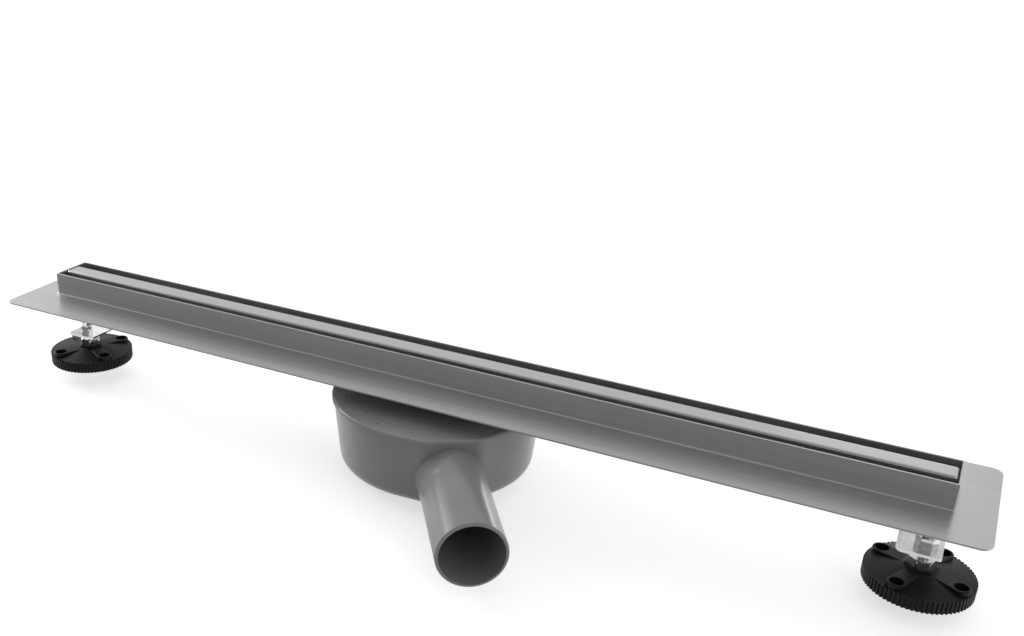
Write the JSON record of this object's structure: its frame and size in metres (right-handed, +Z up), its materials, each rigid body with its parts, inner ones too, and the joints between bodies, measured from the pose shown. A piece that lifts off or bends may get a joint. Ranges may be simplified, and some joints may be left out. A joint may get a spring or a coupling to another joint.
{
  "type": "linear shower drain",
  "caption": "Linear shower drain: flanged steel channel with a raised slot collar and cover, a swivelling side-outlet trap and threaded feet.",
  "frame": {"origin": "on the swivel axis of the trap, in the plane of the trap's flat underside", "axes": "+X along the channel, +Y across it, +Z up; the outlet points to +X and -Y"},
  "size_m": [0.8003, 0.2462, 0.092],
  "materials": {
    "brushed_stainless": "stainless sheet, brushed along its length",
    "bright_zinc": "bright zinc plated steel",
    "plain_steel": "plain stainless steel",
    "grey_plastic": "grey moulded plastic, satin",
    "light_plastic": "light grey moulded plastic, satin",
    "black_plastic": "black moulded plastic, fine grain",
    "black_rubber": "soft black seal rubber"
  },
  "bodies": {
    "channel": {"channel_flange": "brushed_stainless", "channel_trough": "brushed_stainless", "slot_cover": "brushed_stainless", "left_cover_rest": "brushed_stainless", "right_cover_rest": "brushed_stainless", "hair_strainer": "black_plastic", "inlet_gasket": "black_rubber", "disc_screws": "plain_steel", "swivel_disc": "grey_plastic", "swivel_seal": "black_rubber", "retaining_clip": "plain_steel", "dip_seal": "black_rubber", "dip_tube": "light_plastic", "seal_cup": "light_plastic", "left_foot_bracket": "bright_zinc", "right_foot_bracket": "bright_zinc", "left_foot_nut": "bright_zinc", "right_foot_nut": "bright_zinc"},
    "trap": {"trap_lid": "grey_plastic", "trap_body": "grey_plastic"},
    "left_pad": {"left_foot_pad": "black_plastic"},
    "left_spindle": {"left_foot_spindle": "bright_zinc"},
    "right_pad": {"right_foot_pad": "black_plastic"},
    "right_spindle": {"right_foot_spindle": "bright_zinc"}
  },
  "joints": [
    {"name": "trap_swivel", "type": "hinge", "parent": "channel", "child": "trap", "pos_m": [0, 0, 0.0545], "axis": [0, 0, 1], "continuous": true},
    {"name": "left_spindle_turn", "type": "hinge", "parent": "left_pad", "child": "left_spindle", "pos_m": [-0.3595, 0, 0.0213], "axis": [0, 0, -1], "range_deg": [-730, 4330]},
    {"name": "left_foot_height", "type": "slide", "parent": "channel", "child": "left_pad", "axis": [0, 0, -1], "range_m": [-0.0025, 0.015]},
    {"name": "right_spindle_turn", "type": "hinge", "parent": "right_pad", "child": "right_spindle", "pos_m": [0.364, 0, 0.0188], "axis": [0, 0, -1], "range_deg": [-1450, 3610]},
    {"name": "right_foot_height", "type": "slide", "parent": "channel", "child": "right_pad", "axis": [0, 0, -1], "range_m": [-0.005, 0.0125]}
  ],
  "couplings": [
    {"joint": "left_spindle_turn", "follows": "left_foot_height", "rad_per_m": 5026.5},
    {"joint": "right_spindle_turn", "follows": "right_foot_height", "rad_per_m": 5026.5}
  ]
}
